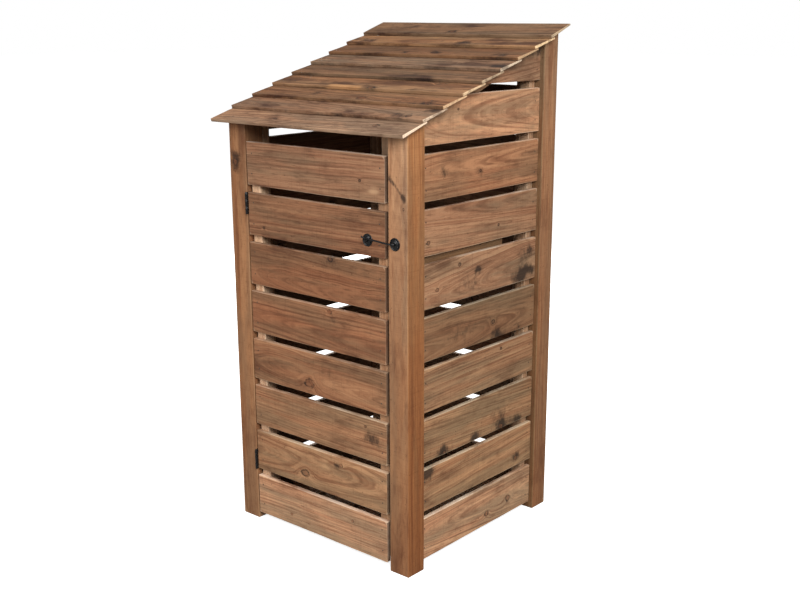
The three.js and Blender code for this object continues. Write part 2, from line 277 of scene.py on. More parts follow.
def black_iron(name):
    """Black japanned iron: a slightly uneven coat, rubbed brighter in places."""
    s = Shader(name)
    place = s.node("TexCoord").outputs["Object"]
    coat = s.noise(place, (260.0, 260.0, 260.0), 3.0, 0.6)
    rubbed = s.between(s.noise(place, (90.0, 90.0, 90.0), 4.0, 0.7), 0.56, 0.74)
    colour = s.mix(s.between(coat, 0.3, 0.7), (0.002, 0.0024, 0.003, 1), (0.007, 0.008, 0.010, 1))
    colour = s.mix(s.times(rubbed, 0.5), colour, (0.045, 0.042, 0.040, 1))
    roughness = s.line(coat, 0.24, 0.16)
    return s.finish(colour, roughness, coat, 0.5 * MM, **{"Metallic": 0.1, "Specular IOR Level": 0.55})


def nail_steel(name):
    """Galvanised nail heads gone dull, with a brown bloom."""
    s = Shader(name)
    place = s.node("TexCoord").outputs["Object"]
    bloom = s.noise(place, (700.0, 700.0, 700.0), 3.0, 0.6)
    colour = s.mix(s.between(bloom, 0.4, 0.65), (0.10, 0.085, 0.07, 1), (0.045, 0.026, 0.016, 1))
    return s.finish(colour, s.line(bloom, 0.3, 0.35), bloom, 0.1 * MM, **{"Metallic": 0.6})


SLAT = wood("slat_timber", pale=(188, 143, 106), warm=(156, 106, 75), dark=(94, 60, 40),
            grey=(136, 109, 82), stain=(48, 36, 28), end=(120, 100, 82),
            ring_spacing=8.0 * MM, figure=0.58, mottle=1.3)
POST = wood("post_timber", pale=(188, 140, 100), warm=(158, 106, 70), dark=(106, 65, 42),
            grey=(152, 116, 86), stain=(56, 38, 28), end=(140, 108, 82), worn_and_lit_edge=(186, 148, 112),
            ring_spacing=5.5 * MM, figure=0.34, mottle=1.1)
ROOF = wood("roof_timber", pale=(168, 130, 100), warm=(136, 96, 69), dark=(76, 49, 35),
            grey=(124, 102, 82), stain=(42, 29, 23), end=(248, 222, 194), fresh=(196, 152, 112),
            worn_and_lit_edge=(168, 140, 116), ring_spacing=9.0 * MM, figure=0.74, mottle=2.2)
BATTEN = wood("batten_timber", pale=(210, 176, 142), warm=(182, 137, 101), dark=(124, 82, 56),
              grey=(172, 143, 116), stain=(78, 56, 42), end=(190, 158, 128),
              ring_spacing=5.0 * MM, figure=0.45, mottle=0.8)
IRON = black_iron("black_iron")
NAIL = nail_steel("nail_steel")


# -------- meshes
def skin_faces(rows, columns, start=0, ring=False):
    """Faces over a grid of points that closes round its columns. A ring joins its last row to its
    first; anything else is capped at both ends."""
    def strip(near, far):
        return [(start + near * columns + c, start + near * columns + (c + 1) % columns,
                 start + far * columns + (c + 1) % columns, start + far * columns + c)
                for c in range(columns)]
    faces = [face for row in range(rows - 1) for face in strip(row, row + 1)]
    if ring:
        return faces + strip(rows - 1, 0)
    last = start + (rows - 1) * columns
    return faces + [tuple(reversed(range(start, start + columns))), tuple(range(last, last + columns))]


def make_mesh(name, points, faces):
    """A mesh whose faces all look outward."""
    mesh = bpy.data.meshes.new(name)
    mesh.from_pydata(points, [], faces)
    work = bmesh.new()
    work.from_mesh(mesh)
    bmesh.ops.recalc_face_normals(work, faces=work.faces)
    work.to_mesh(mesh)
    work.free()
    return mesh


def store(mesh, name, values):
    """Keeps a number or a vector for each of the mesh's points, for its material to read."""
    values = np.asarray(values, np.float32)
    kind, field = ("FLOAT", "value") if values.ndim == 1 else ("FLOAT_VECTOR", "vector")
    mesh.attributes.new(name, kind, "POINT").data.foreach_set(field, values.ravel())


def add_object(name, data):
    made = bpy.data.objects.new(name, data)
    bpy.context.scene.collection.objects.link(made)
    return made


def add_piece(mesh, material, slot, body, nodes, smooth_degrees):
    """Puts a mesh in the scene, smooth over its shallow edges, riding a body in place of CAD nodes."""
    mesh.materials.append(material)
    mesh.polygons.foreach_set("use_smooth", [True] * len(mesh.polygons))
    mesh.set_sharp_from_angle(angle=math.radians(smooth_degrees))
    mesh.update()
    piece = add_object(mesh.name, mesh)
    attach(piece, body)
    if nodes:
        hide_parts(*nodes)


# -------- boards
def section_loop(width, thickness, arris, width_steps, thickness_steps):
    """A rounded rectangle as rows of (across, through, rounded), with through 0 at the inner face."""
    arcs = []
    for across, through, start in ((arris, arris, 180), (width - arris, arris, 270),
                                   (width - arris, thickness - arris, 0), (arris, thickness - arris, 90)):
        turns = [math.radians(start + 30 * step) for step in range(4)]
        arcs.append([(across + arris * math.cos(t), through + arris * math.sin(t), 1.0) for t in turns])
    points = []
    for arc, following, steps in zip(arcs, arcs[1:] + arcs[:1], (width_steps, thickness_steps) * 2):
        points += arc
        here, there = arc[-1], following[0]
        for step in range(1, steps):
            share = step / steps
            points.append((here[0] + (there[0] - here[0]) * share,
                           here[1] + (there[1] - here[1]) * share, 0.0))
    return np.array(points)


def slow_wave(chance, cycles):
    """A smooth random curve over 0 to 1, within about 1 either way."""
    parts = [(chance.uniform(0.6, 1.0) / (k + 1), c * chance.uniform(0.8, 1.2),
              chance.uniform(0, 2 * math.pi)) for k, c in enumerate(cycles)]
    total = sum(size for size, _, _ in parts)
    return lambda t: sum(size * np.sin(2 * math.pi * c * t + turn) for size, c, turn in parts) / total


class Board:
    """One sawn board: its place as a function of shares along, across and through, and its grain frame.

    Its knots are (along, across, radius) and its blots (along, across, radius, strength), in
    millimetres from its grain's origin. A blot under 0 is rubbed back to fresh wood.
    """
    steps_along, steps_across, steps_through = 72, 14, 1
    extra_stations = ()
    arris, warp, edge_wave = 1.6 * MM, 0.7 * MM, 0.5 * MM
    pith, lean, waver = None, None, 9  # a board without its own pith and lean gets them by chance
    knots, blots = (), ()
    front_soak = 0.0            # how dark the thick front edge of a roof board is: painted shade on the down-facing edge, with some real staining
    tint, end_tint = (1.0, 1.0, 1.0), None  # from one end of the board to the other
    inner_tint = far_tint = (1.0, 1.0, 1.0)  # inner face: a darker tint there is painted shade; far or upper edge: on the slats a paler tint is a painted highlight

    def __init__(self, node, place, axes, size, timber, body="frame", name=None):
        self.node, self.place, self.axes, self.size = node, place, axes, size
        self.timber, self.body, self.name = timber, body, name or f"{node}_timber"

    def warped(self, points, along, across):
        """The board's bow, cup and uneven edges, added to points at those shares along and across."""
        chance = random.Random(self.name + "warp")
        bow, low_edge, high_edge = (slow_wave(chance, cycles) for cycles in
                                    ((0.6, 1.5, 3.1), (1, 2.7, 6), (1, 2.7, 6)))
        cup = chance.uniform(-0.6, 0.6)
        bowed = 0.6 * bow(along) * np.sin(math.pi * along)
        outward = self.warp * (bowed + cup * ((2 * across - 1) ** 2 - 0.4))
        sideways = self.edge_wave * np.where(across > 0.5, across * high_edge(along),
                                             (1 - across) * low_edge(along))
        return (points + outward[..., None] * np.array(self.axes[2])
                + sideways[..., None] * np.array(self.axes[1]))

    def on_face(self, along, across):
        """The point on the outer face that lies this far along and across, in metres."""
        shares = [np.array([along / self.size[0]]), np.array([across / self.size[1]])]
        return Vector(self.warped(self.place(*shares, np.ones(1)), *shares)[0])

    def grid(self, loop):
        """The shares along, across and through of every point, in rows along the board."""
        length, width, thickness = self.size
        chamfer = self.arris / length
        inner = np.union1d(np.linspace(chamfer, 1 - chamfer, self.steps_along), self.extra_stations)
        stations = np.concatenate(([0.0], inner, [1.0]))
        along = np.repeat(stations[:, None], len(loop), axis=1)
        across = np.tile(loop[:, 0] / width, (len(stations), 1))
        through = np.tile(loop[:, 1] / thickness, (len(stations), 1))
        for row in (0, -1):
            across[row] = 0.5 + (across[row] - 0.5) * (1 - 2 * self.arris / width)
            through[row] = 0.5 + (through[row] - 0.5) * (1 - 2 * self.arris / thickness)
        return along, across, through

    def tints(self, along, across, through):
        shade = along[..., None] ** 2.2
        tint = np.array(self.tint) * (1 - shade) + np.array(self.end_tint or self.tint) * shade
        # The far edge and the inner face get their own tints: on the slats the upper edge's is a painted
        # highlight, and an inner face's is painted shade.
        far_edge = across > 1 - 0.5 * self.arris / self.size[1]
        tint = np.where(far_edge[..., None], tint * self.far_tint, tint)
        inner_face = through < 0.5 * self.arris / self.size[2]
        return np.where(inner_face[..., None], tint * self.inner_tint, tint)

    def soak(self, grain, along, across):
        soak = np.zeros(along.shape)
        for blot_along, blot_across, radius, strength in self.blots:
            away = ((grain[..., 0] - blot_along * MM) / 1.7) ** 2 + (grain[..., 1] - blot_across * MM) ** 2
            soak += strength * np.exp(-away / (radius * MM) ** 2)
        uneven = slow_wave(random.Random(self.name + "soak"), (1.3, 3.1, 5.2))
        # A roof board's thick front edge is darkened: painted shade, with some real staining.
        front_edge = across < 0.5 * self.arris / self.size[1]
        return soak + self.front_soak * front_edge * (0.6 + 0.4 * uneven(along))

    def figure(self):
        """The seed, pith, lean and two knots, from the board's looks or by chance."""
        chance = random.Random(self.name)
        length, width, thickness = self.size
        seed = [chance.uniform(0, 60) for _ in range(3)]
        pith = self.pith or (chance.uniform(-0.1, 1.1) * width / MM,
                             chance.choice((-1, 1)) * chance.uniform(30, 90) + thickness / MM / 2)
        lean = self.lean or (chance.uniform(-0.03, 0.03), chance.uniform(-0.04, 0.04))
        knots = [(a * MM, b * MM, c * MM) for a, b, c in self.knots]
        if not knots and chance.random() < 0.6:
            knots = [(chance.uniform(0.1, 0.9) * length, chance.uniform(0.15, 0.85) * width,
                      chance.uniform(0.04, 0.09) * width)]
        knot_a, knot_b = (knots + [(-FAR, -FAR, 0.0)] * 2)[:2]
        return dict(seed=seed, pith=(pith[0] * MM, pith[1] * MM, 0), lean=(*lean, self.waver * MM),
                    knot_a=knot_a, knot_b=knot_b)

    def build(self):
        _, width, thickness = self.size
        loop = section_loop(width, thickness, self.arris, self.steps_across, self.steps_through)
        shares = along, across, through = self.grid(loop)
        rows, columns = along.shape
        points = self.place(*shares)
        origin = self.place(np.zeros(1), np.zeros(1), np.zeros(1))[0]
        grain = np.stack([(points - origin) @ np.array(axis) for axis in self.axes], axis=-1)
        points = self.warped(points, along, across).reshape(-1, 3).tolist()
        mesh = make_mesh(self.name, points, skin_faces(rows, columns))

        end = np.zeros((rows, columns))
        end[[0, -1]] = 1
        edge = np.tile(loop[:, 2], (rows, 1))
        edge[[1, -2]] = 1
        store(mesh, "grain", grain.reshape(-1, 3))
        store(mesh, "tint", self.tints(*shares).reshape(-1, 3))
        for name, value in self.figure().items():
            store(mesh, name, np.tile(value, (rows * columns, 1)))
        for name, value in (("end", end), ("edge", edge), ("stain", self.soak(grain, along, across))):
            store(mesh, name, value.ravel())
        add_piece(mesh, *self.timber, self.body, [self.node], 35)


def side_outline(node):
    """The corners, as (y, z), of a node whose outline runs along X."""
    points = np.array([v.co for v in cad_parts[node].data.vertices], float)
    return np.unique(np.round(points[:, 1:], 5), axis=0)


def heights_at(node):
    """Functions from y to a node's lowest and highest z, and the corners of its outline."""
    corners = side_outline(node)
    centre = corners.mean(0)
    corners = corners[np.argsort(np.arctan2(corners[:, 1] - centre[1], corners[:, 0] - centre[0]))]

    def crossing(y, choose, worst):
        best = np.full(np.shape(y), worst)
        for (ya, za), (yb, zb) in zip(corners, np.roll(corners, -1, axis=0)):
            if abs(yb - ya) < TINY:
                here, height = np.abs(y - ya) < TINY, choose(za, zb)
            else:
                share = (y - ya) / (yb - ya)
                here, height = (share > -TINY) & (share < 1 + TINY), za + (zb - za) * share
            best = np.where(here, choose(best, height), best)
        return best
    return (lambda y: crossing(y, np.minimum, FAR)), (lambda y: crossing(y, np.maximum, -FAR)), corners


def box_board(node, axes, timber, body="frame", corners=None, name=None):
    """A board that fills its node's box, or two corners' box where the node is a joined panel. An axis is
    +x as 1, +y as 2 and +z as 3, or under 0 the other way."""
    low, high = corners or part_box(node)

    def place(*shares):
        points = np.zeros(np.shape(shares[0]) + (3,))
        for axis, share in zip(axes, shares):
            index = abs(axis) - 1
            share = share if axis > 0 else 1 - share
            points[..., index] = low[index] + (high[index] - low[index]) * share
        return points
    size = [high[abs(a) - 1] - low[abs(a) - 1] for a in axes]
    directions = [(X, Y, Z)[abs(a) - 1] * (1 if a > 0 else -1) for a in axes]
    return Board(node, place, directions, size, timber, body, name)


def side_board(node, timber, outward):
    """A slat or bearer in a side panel: its ends are upright and its edges follow the node's outline."""
    (x0, y0, _), (x1, y1, _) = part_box(node)
    lowest, highest, corners = heights_at(node)
    if highest(y0) - lowest(y0) < 2 * MM:
        y0 += 6 * MM  # the roof clips this slat to a point, which is cut back to a blunt end
    inner, outer = (x0, x1) if outward > 0 else (x1, x0)

    def place(along, across, through):
        y = y0 + (y1 - y0) * along
        bottom, top = lowest(y), highest(y)
        return np.stack([inner + (outer - inner) * through, y, bottom + (top - bottom) * across], axis=-1)
    samples = np.linspace(y0, y1, 9)
    height = np.max(highest(samples) - lowest(samples))
    board = Board(node, place, [Y, Z, X * outward], [y1 - y0, height, x1 - x0], timber)
    clear = 10 * MM
    board.extra_stations = [(y - y0) / (y1 - y0) for y in corners[:, 0] if y0 + clear < y < y1 - clear]
    return board


def post_board(node, facing):
    """A corner post: its grain is upright, and its head follows the roof."""
    (x0, y0, z0), (x1, y1, z1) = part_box(node)
    _, highest, _ = heights_at(node)
    inner, outer = (y1, y0) if facing < 0 else (y0, y1)

    def place(along, across, through):
        y = inner + (outer - inner) * through
        return np.stack([x0 + (x1 - x0) * across, y, highest(y) * along], axis=-1)
    board = Board(node, place, [Z, X, Y * facing], [z1 - z0, x1 - x0, y1 - y0], POST)
    board.steps_along, board.steps_across, board.steps_through = 60, 4, 4
    board.arris, board.warp, board.edge_wave = 2.2 * MM, 0.5 * MM, 0.4 * MM
    return board


def roof_board(node):
    """A feather-edged roof board, thick at its front edge."""
    x0, x1 = (corner.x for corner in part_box(node))
    corners = side_outline(node)
    reach = corners @ np.array(ROOF_WIDTH_AXIS)[1:]

    def edge(ends):
        """An edge's lowest and highest corners, measured square to the roof."""
        ends = ends[np.argsort(ends @ np.array(ROOF_NORMAL)[1:])]
        return ends[0], ends[-1]
    front_low, front_high = edge(corners[reach < reach.mean()])
    back_low, back_high = edge(corners[reach >= reach.mean()])

    def place(along, across, through):
        low = front_low + (back_low - front_low) * across[..., None]
        high = front_high + (back_high - front_high) * across[..., None]
        return np.concatenate([(x0 + (x1 - x0) * along)[..., None], low + (high - low) * through[..., None]],
                              axis=-1)
    width, thickness = np.linalg.norm(back_low - front_low), np.linalg.norm(front_high - front_low)
    board = Board(node, place, [X, ROOF_WIDTH_AXIS, ROOF_NORMAL], [x1 - x0, width, thickness], ROOF)
    board.steps_along, board.arris = 100, 1.1 * MM
    board.warp, board.edge_wave = 0.8 * MM, 1.0 * MM
    return board


# -------- the boards' own looks
TOP_EDGE_HIGHLIGHT = (1.12, 1.22, 1.36)  # an upper edge is tinted paler and greyer: a painted highlight where light falls on the top
# an inner face is tinted darker: painted shade for the dim inside of the store
INSIDE_SHADE = (0.6, 0.6, 0.6)


def look(tint, *knots, **others):
    """A board's own settings, as class Board names them."""
    return dict(tint=tint, knots=knots, **others)


DOOR_LOOKS = {
    1: look((1.60, 1.65, 1.72), (440, 96, 5), (159, 37, 4), pith=(-60, -80), lean=(0.02, 0.01)),
    2: look((1.20, 1.18, 1.11), (229, 42, 13), (392, 112, 6), pith=(66, -34), lean=(0.03, -0.05),
        waver=18, blots=[(374, 108, 13, 0.9), (20, 120, 20, 0.3), (323, 98, 26, -0.35)]),
    3: look((1.12, 1.07, 1.01), (500, 108, 4), pith=(-60, -50), lean=(-0.02, 0.01),
        blots=[(529, 73, 24, 0.65), (340, 122, 18, 0.3)]),
    4: look((0.94, 0.84, 0.77), (257, 36, 15), pith=(66, -36), lean=(-0.04, 0.05), waver=20,
        blots=[(250, 128, 30, 0.3), (360, 70, 60, 0.22)]),
    5: look((0.96, 0.81, 0.73), (356, 126, 7), pith=(58, -50), lean=(-0.03, 0.02),
        blots=[(345, 110, 30, 0.4)]),
    6: look((0.76, 0.63, 0.56), (364, 130, 8), pith=(46, -44), lean=(-0.06, 0.04), waver=20,
        blots=[(362, 118, 36, 0.35)]),
    7: look((0.77, 0.69, 0.65), (70, 30, 4), pith=(190, -60), lean=(0.02, 0.01)),
    8: look((0.87, 0.84, 0.85), (490, 58, 4), pith=(-50, -60), lean=(0.01, 0.01),
        blots=[(545, 34, 16, -0.45), (500, 14, 14, -0.35)]),
}
SIDE_LOOKS = {
    1: look((1.74, 1.83, 1.90), (464, 55, 10), (344, 41, 8), pith=(90, -40), lean=(-0.04, 0.05)),
    2: look((1.35, 1.37, 1.29), (506, 30, 8), pith=(-50, -60), lean=(0.05, 0.01),
        blots=[(30, 124, 30, 0.8), (506, 34, 18, 0.7), (250, 8, 18, 0.35)]),
    3: look((1.16, 1.20, 1.14), (414, 8, 9), (111, 4, 9), pith=(190, -40), lean=(-0.05, 0.01),
        blots=[(111, 8, 24, 0.9), (276, 10, 20, 0.8), (418, 12, 24, 0.9), (505, 2, 22, 0.9),
               (400, 60, 40, 0.3)]),
    4: look((1.09, 1.12, 1.09), (409, 118, 5), pith=(-70, -70), lean=(0.02, 0.01), waver=6),
    5: look((0.80, 0.81, 0.77), (363, 56, 7), pith=(30, -42), lean=(0.05, -0.04),
        blots=[(382, 6, 28, 0.8), (500, 10, 24, 0.5), (200, 60, 60, 0.3)]),
    6: look((1.12, 1.15, 1.18), (184, 112, 6), (76, 52, 6), pith=(24, -44), lean=(0.06, 0.05),
        waver=18, blots=[(500, 14, 26, 0.85), (548, 34, 22, 0.8), (560, 100, 26, 0.6), (520, 78, 24, 0.35),
                         (282, 81, 13, 0.9), (230, 40, 40, 0.4)]),
    7: look((1.08, 1.07, 1.08), (34, 40, 6), (382, 46, 4), pith=(130, -50), lean=(-0.02, 0.03)),
    8: look((1.13, 1.01, 0.94), (283, 66, 5), pith=(80, -24), lean=(0.03, 0.03),
        blots=[(283, 60, 16, 0.4), (100, 76, 24, 0.35), (190, 66, 16, 0.35)]),
    9: look((1.65, 1.61, 1.62), (170, 96, 3), pith=(72, 146), lean=(0, -0.059), waver=6),
    10: look((1.28, 1.34, 1.43), (190, 60, 4), pith=(30, -40), lean=(0.16, 0.03),
        blots=[(330, 100, 34, 0.7)]),
}
# A roof board's front-edge setting darkens its thick front edge: painted shade, with some real staining.
ROOF_LOOKS = {
    1: look((1.11, 1.09, 1.06), (259, 40, 5), (663, 54, 9)),
    2: look((0.95, 0.91, 0.86), (736, 22, 8), front_soak=0.5,
        blots=[(776, 83, 20, 0.8), (702, 20, 26, 0.6)]),
    3: look((0.88, 0.73, 0.56), (466, 27, 12), (730, 19, 8), front_soak=0.5,
        blots=[(466, 27, 17, 0.8), (730, 12, 32, 0.6), (640, 12, 20, 0.4), (255, 47, 12, 0.6)]),
    4: look((0.97, 0.87, 0.70), (441, 7, 9), (664, 84, 8),
        blots=[(280, 4, 18, -0.6), (330, 4, 18, -0.7), (385, 4, 18, -0.6), (441, 8, 15, 0.9),
               (610, 8, 26, 0.6), (664, 80, 15, 0.7), (559, 27, 22, -0.4)]),
    5: look((0.68, 0.63, 0.54), (300, 60, 5), front_soak=0.9, blots=[(520, 30, 36, 0.35)]),
    6: look((0.90, 0.91, 0.88), (620, 44, 5), front_soak=0.8,
        blots=[(781, 28, 20, 0.8), (560, 60, 36, 0.35)]),
    7: look((0.68, 0.56, 0.42), (456, 28, 10), (342, 23, 8), front_soak=0.5,
        blots=[(456, 30, 15, 0.9), (342, 22, 12, 0.6), (729, 21, 22, 0.7), (300, 52, 24, 0.35)]),
    8: look((1.12, 1.01, 0.78), (509, 22, 10), (83, 29, 10), front_soak=0.4,
        blots=[(509, 22, 22, 0.8), (83, 29, 20, 0.7), (400, 40, 14, 0.4)]),
    9: look((0.69, 0.65, 0.56), (388, 26, 9), blots=[(388, 26, 15, 0.9)]),
}
SCAR = [(1232, 4, 4, 0.8), (1227, 12, 4, 0.8), (1221, 20, 4, 0.75), (1214, 28, 4, 0.75),
        (1206, 36, 4, 0.7), (1197, 44, 4, 0.65), (1187, 52, 5, 0.6), (1180, 60, 9, 0.7)]
POST_LOOKS = {
    "post_front_right": look(
        (0.87, 0.81, 0.74), (1150, 58, 4), pith=(30, -60), lean=(0.004, 0), blots=SCAR,
        end_tint=(1.32, 1.46, 1.6), far_tint=(0.9, 0.73, 0.54), steps_across=16),
    "post_front_left": look(
        (0.94, 0.87, 0.79), (1227, 27, 8), pith=(60, -40), lean=(0, 0), end_tint=(0.86, 0.8, 0.73),
        blots=[(1227, 26, 24, 0.95)]),
    # the back right post's inner face is tinted dark: painted shade for the dim inside
    "post_back_right": look(
        (0.95, 0.88, 0.82), (900, 40, 5), pith=(20, 120), lean=(0, 0), end_tint=(1.2, 1.24, 1.32),
        far_tint=(1.0, 0.98, 0.95), inner_tint=(0.6, 0.66, 0.62)),
    "post_back_left": look((0.92, 0.9, 0.88), (600, 40, 6), pith=(50, 90), lean=(0, 0)),
}


def aged(name):
    """A board's own small shift in depth and warmth of colour."""
    chance = random.Random(name + "age")
    depth, warmth = chance.uniform(0.88, 1.08), chance.uniform(-0.05, 0.05)
    return (depth * (1 + warmth), depth, depth * (1 - warmth))


# -------- laying the boards
boards = []


def lay(board, **looks):
    for key, value in looks.items():
        setattr(board, key, value)
    boards.append(board)


def lay_batten(node, axes, body="frame", corners=None, name=None, **looks):
    plain = dict(steps_across=3, steps_through=3, warp=0.3 * MM, edge_wave=0.3 * MM)
    lay(box_board(node, axes, BATTEN, body, corners, name), **{**plain, **looks})


def lay_posts():
    for node, looks in POST_LOOKS.items():
        post = post_board(node, -1 if "front" in node else 1)
        lay(post, **looks)
        if node == "post_front_right":
            scar_foot, row_step, rows = 1170 * MM, 3 * MM, 26  # close rows, for the thin scar to show on
            post.extra_stations = [(scar_foot + row_step * row) / post.size[0] for row in range(rows)]


def lay_sides():
    for side, outward in (("left", -1), ("right", 1)):
        for number in range(1, 11):
            node = f"side_slat_{side}_{number:02d}"
            looks = SIDE_LOOKS[number] if side == "right" else look(aged(node))
            # Inner faces get painted shade, and upper edges a painted highlight.
            lay(side_board(node, SLAT, outward), inner_tint=INSIDE_SHADE, far_tint=TOP_EDGE_HIGHLIGHT, **looks)
        for row in ("front", "back"):
            node = f"side_batten_{side}_{row}"
            lay_batten(node, (3, 2, outward), tint=aged(node))
        if side == "right":
            # Painted shade: the rail is tinted a dark olive, as it looks in the shade behind the slats.
            lay_batten("side_rail_right", (2, 3, 1), tint=(0.40, 0.35, 0.27), warp=0.2 * MM,
                       edge_wave=0.5 * MM)
        lay(side_board(f"roof_bearer_{side}", BATTEN, outward),
            steps_across=3, steps_through=3, tint=(0.8, 0.78, 0.75), warp=0.3 * MM)


def lay_back():
    low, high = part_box("back_panel")
    slat_front = high.y - SLAT_THICKNESS
    for number in range(1, 11):
        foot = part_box(f"side_slat_left_{number:02d}")[0].z if number < 10 else high.z - SLAT_HEIGHT
        name = f"back_slat_{number:02d}_timber"
        corners = (low.x, slat_front, foot), (high.x, high.y, foot + SLAT_HEIGHT)
        # Inner faces get painted shade.
        lay(box_board("back_panel", (1, 3, 2), SLAT, corners=corners, name=name),
            tint=aged(name), inner_tint=INSIDE_SHADE)
    batten_low, batten_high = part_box("side_batten_left_back")
    width = batten_high.y - batten_low.y
    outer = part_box("post_back_right")[0].x - BATTEN_TO_POST
    for side, sign in (("left", -1), ("right", 1)):
        near, far = sorted((sign * (outer - width), sign * outer))
        name = f"back_batten_{side}_timber"
        corners = (near, low.y, low.z), (far, slat_front, high.z - SLAT_HEIGHT / 2)
        lay_batten("back_panel", (3, 1, -2), corners=corners, name=name, tint=aged(name))


def lay_floor():
    low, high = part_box("floor_panel")
    front_low, front_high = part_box("side_batten_right_front")
    reach = front_low.x - SIDE_CLEARANCE
    step = (2 * reach - SLAT_HEIGHT) / (FLOOR_BOARDS - 1)
    board_foot = high.z - SLAT_THICKNESS
    floor_timber = (SLAT[0], BATTEN[1])  # the slat material, with the name of the slot that the panel has in the frame
    for number in range(FLOOR_BOARDS):
        x = -reach + number * step
        name = f"floor_board_{number + 1:02d}_timber"
        corners = (x, low.y, board_foot), (x + SLAT_HEIGHT, high.y, high.z)
        lay(box_board("floor_panel", (2, 1, 3), floor_timber, corners=corners, name=name), tint=aged(name))
    back_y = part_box("side_batten_right_back")[0].y - BATTEN_DEPTH
    for row, y in (("front", front_high.y), ("back", back_y)):
        name = f"floor_bearer_{row}_timber"
        corners = (low.x, y, low.z), (high.x, y + BATTEN_DEPTH, board_foot)
        lay_batten("floor_panel", (1, 2, 3), corners=corners, name=name, tint=aged(name), edge_wave=0.5 * MM)


def lay_roof():
    for number, looks in ROOF_LOOKS.items():
        lay(roof_board(f"roof_board_{number:02d}"), **looks)


def lay_door():
    for number, looks in DOOR_LOOKS.items():
        # Upper edges get a painted highlight.
        lay(box_board(f"door_slat_{number:02d}", (1, 3, -2), SLAT, "door"), far_tint=TOP_EDGE_HIGHLIGHT, **looks)
    for row, tint in (("hinge", (1.5, 1.6, 1.7)), ("latch", (0.9, 0.80, 0.72))):
        lay_batten(f"door_batten_{row}", (3, 1, -2), "door", tint=tint)
    # Painted shade: the stop is tinted dark at its foot, fading to light at its head, so that only its top
    # looks lit.
    lay_batten("door_stop", (3, 1, -2), steps_along=24, tint=(0.26, 0.25, 0.24),
               end_tint=(0.9, 0.84, 0.78), warp=0.2 * MM, edge_wave=0.5 * MM)


lay_posts()
lay_sides()
lay_back()
lay_floor()
lay_roof()
lay_door()
for board in boards:
    board.build()


# -------- nails and ironwork
def smooth_path(path, steps):
    """A Catmull-Rom curve through the path's points."""
    points = [Vector(p) for p in path]
    points = [2 * points[0] - points[1]] + points + [2 * points[-1] - points[-2]]
    curve = []
    for a, b, c, d in zip(points, points[1:], points[2:], points[3:]):
        for k in range(steps):
            t = k / steps
            curve.append(0.5 * (2 * b + (c - a) * t + (2 * a - 5 * b + 4 * c - d) * t * t
                                + (3 * b - a - 3 * c + d) * t ** 3))
    return curve + [points[-2]]


def full_turn(steps):
    return [2 * math.pi * k / steps for k in range(steps)]


class Solid:
    """A mesh gathered from closed shells: turned pieces, bent rods and plates."""

    def __init__(self, name):
        self.name, self.points, self.faces = name, [], []

    def rings(self, rings, ring=False):
        """Joins rows of equal length into a skin, capped at both ends unless it is a ring."""
        self.faces.extend(skin_faces(len(rings), len(rings[0]), len(self.points), ring))
        for row in rings:
            self.points.extend(row)

    def turned(self, foot, axis, profile, segments=48, ring=False):
        """Turns (radius, height) points round an axis that leaves foot. Each radius is over 0."""
        axis = Vector(axis).normalized()
        side = axis.orthogonal().normalized()
        other = axis.cross(side)
        self.rings([[Vector(foot) + axis * height + (side * math.cos(t) + other * math.sin(t)) * radius
                     for t in full_turn(segments)] for radius, height in profile], ring)

    def bent_rod(self, path, radius):
        """A round rod along a smooth path, with its ends rounded over."""
        segments, blunt_end = 20, 0.35
        points = smooth_path(path, 10)
        tangents = [(points[min(k + 1, len(points) - 1)] - points[max(k - 1, 0)]).normalized()
                    for k in range(len(points))]
        reach = [0.0]
        for here, there in zip(points, points[1:]):
            reach.append(reach[-1] + (there - here).length)
        side = tangents[0].orthogonal().normalized()
        rings = []
        for point, tangent, gone in zip(points, tangents, reach):
            side = (side - tangent * side.dot(tangent)).normalized()
            other = tangent.cross(side)
            from_end = min(gone, reach[-1] - gone) / radius
            swell = math.sqrt(max(0.0, 1 - max(0.0, 1 - from_end) ** 2))
            size = radius * (blunt_end + (1 - blunt_end) * swell)
            rings.append([point + (side * math.cos(t) + other * math.sin(t)) * size
                          for t in full_turn(segments)])
        self.rings(rings)

    def plate(self, low, high, bevel):
        """A rectangular plate with rounded edges."""
        work = bmesh.new()
        bmesh.ops.create_cube(work, size=1.0)
        for vertex in work.verts:
            for k in range(3):
                vertex.co[k] = low[k] if vertex.co[k] < 0 else high[k]
        bmesh.ops.bevel(work, geom=work.edges[:], offset=bevel, segments=3, affect="EDGES", profile=0.5)
        start = len(self.points)
        work.verts.index_update()
        self.points.extend(v.co.copy() for v in work.verts)
        self.faces.extend(tuple(start + v.index for v in face.verts) for face in work.faces)
        work.free()

    def screw(self, place, axis, radius, turn):
        """A domed slotted screw head: a skirt, and two cheeks either side of the slot."""
        axis = Vector(axis).normalized()
        side = Matrix.Rotation(turn, 3, axis) @ axis.orthogonal().normalized()
        other = axis.cross(side)
        self.turned(place, axis, [(radius, 0), (radius, 0.12 * radius), (0.9 * radius, 0.2 * radius)], 24)
        half_slot = 0.16 * radius
        arc = [math.radians(-80 + 16 * k) for k in range(11)]
        dome = ((1.0, 0.15), (0.97, 0.28), (0.8, 0.42), (0.5, 0.52), (0.2, 0.56))
        for sign in (-1, 1):
            self.rings([[Vector(place) + axis * height * radius
                         + side * sign * max(half_slot, share * radius * math.cos(a))
                         + other * share * radius * math.sin(a) for a in arc] for share, height in dome])

    def make(self, material, body, nodes=()):
        mesh = make_mesh(self.name, [tuple(p) for p in self.points], self.faces)
        add_piece(mesh, material, "black_iron", body, nodes, 40)


def in_mm(*pairs):
    """A profile of (radius, height) points in millimetres, as metres."""
    return [(radius * MM, height * MM) for radius, height in pairs]


NAIL_HEAD = in_mm((2.3, -0.8), (2.3, 0.1), (1.9, 0.35), (0.9, 0.45))


